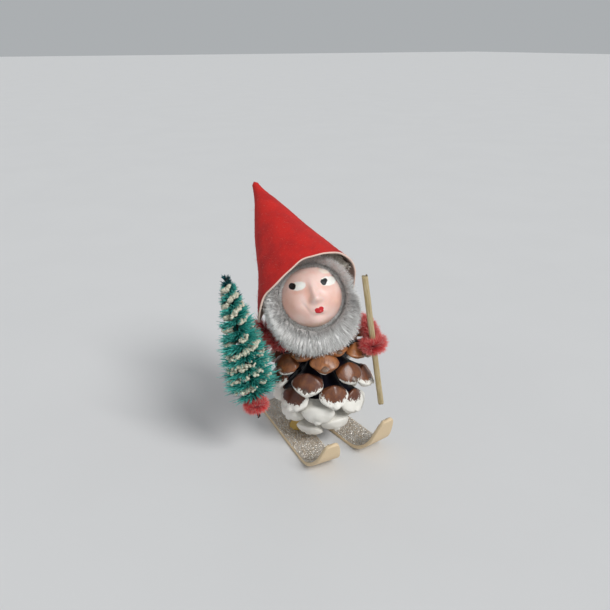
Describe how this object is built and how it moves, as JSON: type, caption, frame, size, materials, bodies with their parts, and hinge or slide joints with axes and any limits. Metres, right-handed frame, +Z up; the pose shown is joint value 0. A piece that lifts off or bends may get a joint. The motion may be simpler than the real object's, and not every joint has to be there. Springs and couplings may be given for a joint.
{
  "type": "tomte gnome figurine on skis",
  "caption": "Pine-cone gnome on two curled wooden skis, with a cone hat, moulded face, chenille beard and arms, a bristle tree and a ski stick.",
  "frame": {"origin": "on the floor under the middle of the figure's outline; the pine cone's axis stands 8.3 mm along +X and 2.1 mm along -Y from it", "axes": "+Z up, -Y forwards along the skis, +X towards the figure's left hand and its ski stick"},
  "size_m": [0.0529, 0.0557, 0.0813],
  "materials": {
    "ski_wood": "thin hardwood strip, tan, with dark brown scorched cut edges",
    "mica_glitter": "mica flakes set in glue, greyish tan, sparkling",
    "amber_glue": "set amber glue, glossy, translucent",
    "cone_core": "inside of a pine cone painted navy black",
    "cone_scale_dipped": "pine cone scale under thick matt white paint",
    "cone_scale_brown": "pine cone scale, lacquered orange brown, with white paint on its lower edge",
    "cotton": "pressed cotton wool",
    "face_plastic": "glossy moulded face, pale pink, painted by hand",
    "white_chenille": "cream chenille pile, soft, slightly grey",
    "wire": "twisted dark iron wire",
    "red_felt": "red velour paper, matt, with a thin pale cut edge",
    "red_chenille": "deep crimson chenille pile with coral tips",
    "tree_bristle": "teal bristles, bright turquoise at the ends",
    "tree_snow": "cream artificial snow, granular, matt",
    "stick_wood": "thin round wooden stick, light tan"
  },
  "bodies": {
    "root": {"ski_right": "ski_wood", "ski_left": "ski_wood", "ski_right_glitter": "mica_glitter", "ski_left_glitter": "mica_glitter", "glue_right": "amber_glue", "glue_left": "amber_glue", "cone_axis": "cone_core", "scales_bottom": "cone_scale_dipped", "scales_lower": "cone_scale_brown", "scales_middle": "cone_scale_brown", "scales_upper": "cone_scale_brown", "scales_top": "cone_scale_brown", "neck_glue": "amber_glue", "head_ball": "cotton", "face_mask": "face_plastic", "beard_wire": "wire", "beard_pile": "white_chenille", "hat_wadding": "cotton", "hat": "red_felt", "collar_wire": "wire", "collar_pile": "red_chenille"},
    "arm_right": {"arm_right_wire": "wire", "arm_right_pile": "red_chenille"},
    "tree": {"tree_wire": "wire", "tree_bristles": "tree_bristle", "tree_snow": "tree_snow"},
    "arm_left": {"arm_left_wire": "wire", "arm_left_pile": "red_chenille"},
    "stick": {"ski_stick": "stick_wood"}
  },
  "joints": [
    {"name": "right_arm_bend", "type": "hinge", "parent": "root", "child": "arm_right", "pos_m": [-0.0093, 0.0016, 0.0416], "axis": [-0.6861, 0.7275, 0], "range_deg": [0, 26]},
    {"name": "tree_turn", "type": "hinge", "parent": "arm_right", "child": "tree", "pos_m": [-0.0181, -0.0067, 0.0214], "axis": [-0.1074, 0.1856, 0.9767], "range_deg": [-180, 180]},
    {"name": "left_arm_bend", "type": "hinge", "parent": "root", "child": "arm_left", "pos_m": [0.017, -0.0058, 0.0416], "axis": [0, 0, 1], "range_deg": [0, 30]},
    {"name": "stick_slide", "type": "slide", "parent": "arm_left", "child": "stick", "axis": [-0.1629, 0.0386, 0.9859], "range_m": [-0.008, 0.008]}
  ]
}
